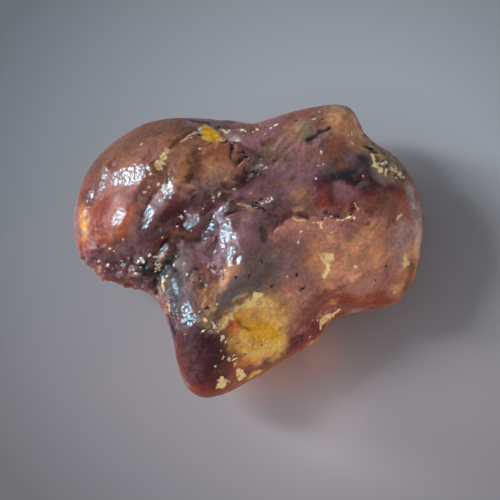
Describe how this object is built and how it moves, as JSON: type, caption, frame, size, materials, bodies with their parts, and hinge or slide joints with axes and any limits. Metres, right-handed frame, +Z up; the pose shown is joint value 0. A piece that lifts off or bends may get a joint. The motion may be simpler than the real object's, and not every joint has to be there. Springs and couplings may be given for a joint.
{
  "type": "raw amber piece",
  "caption": "Raw piece of red-brown amber, a rounded see-through lump with flow folds, cloudy patches and sealed dark debris, lying on its worn flat patch.",
  "frame": {"origin": "middle of the footprint, on the surface that the piece rests on", "axes": "+X along the longest extent, from the big dome to the broad shoulder; +Y from the lower leg to the upper knob; +Z up"},
  "size_m": [0.0388, 0.033, 0.0154],
  "materials": {
    "amber": "water-worn glossy fossil resin, see-through red-brown with a fine dull grain"
  },
  "bodies": {
    "root": {"amber_nugget": "amber"}
  },
  "joints": []
}
